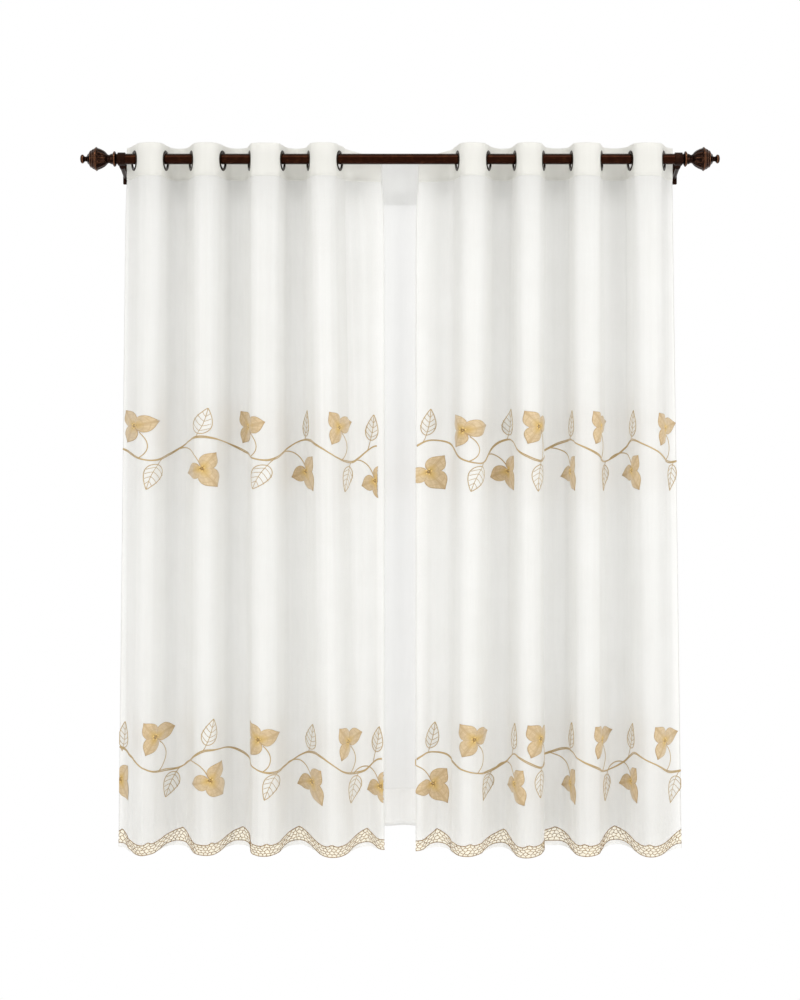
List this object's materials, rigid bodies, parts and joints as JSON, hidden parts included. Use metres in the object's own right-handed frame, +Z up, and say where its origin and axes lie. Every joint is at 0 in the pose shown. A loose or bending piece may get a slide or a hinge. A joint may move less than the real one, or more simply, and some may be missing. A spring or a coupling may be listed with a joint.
{
  "type": "pair of sheer voile eyelet curtains on a curtain rod",
  "caption": "Pair of sheer voile curtains with ring eyelets and a scalloped hem, hung in even folds on a turned rod with finials and wall brackets, with a plain voile sheer on a slim rod behind.",
  "frame": {"origin": "on the wall, at the height of the main rod's axis, midway between the two brackets", "axes": "+X to the right as seen from the room, along the rods; +Y into the wall, so the room is towards -Y; +Z up"},
  "size_m": [1.93, 0.2008, 2.1359],
  "materials": {
    "voile": "sheer white voile with gold thread embroidery",
    "heading": "doubled white voile over a stiffener",
    "sheer": "plain sheer white voile",
    "bronze": "dark oiled bronze with copper edges",
    "white_paint": "white lacquer"
  },
  "bodies": {
    "root": {"panel_left": "voile", "panel_right": "voile", "heading_left": "heading", "heading_right": "heading", "plain_sheer": "sheer", "main_rod": "bronze", "rear_rod": "white_paint", "finial_left": "bronze", "finial_right": "bronze", "bracket_left": "bronze", "bracket_right": "bronze", "screw_left_1": "bronze", "screw_left_2": "bronze", "screw_right_1": "bronze", "screw_right_2": "bronze", "eyelet_left_1": "bronze", "eyelet_left_2": "bronze", "eyelet_left_3": "bronze", "eyelet_left_4": "bronze", "eyelet_left_5": "bronze", "eyelet_left_6": "bronze", "eyelet_left_7": "bronze", "eyelet_left_8": "bronze", "eyelet_right_1": "bronze", "eyelet_right_2": "bronze", "eyelet_right_3": "bronze", "eyelet_right_4": "bronze", "eyelet_right_5": "bronze", "eyelet_right_6": "bronze", "eyelet_right_7": "bronze", "eyelet_right_8": "bronze"}
  },
  "joints": []
}
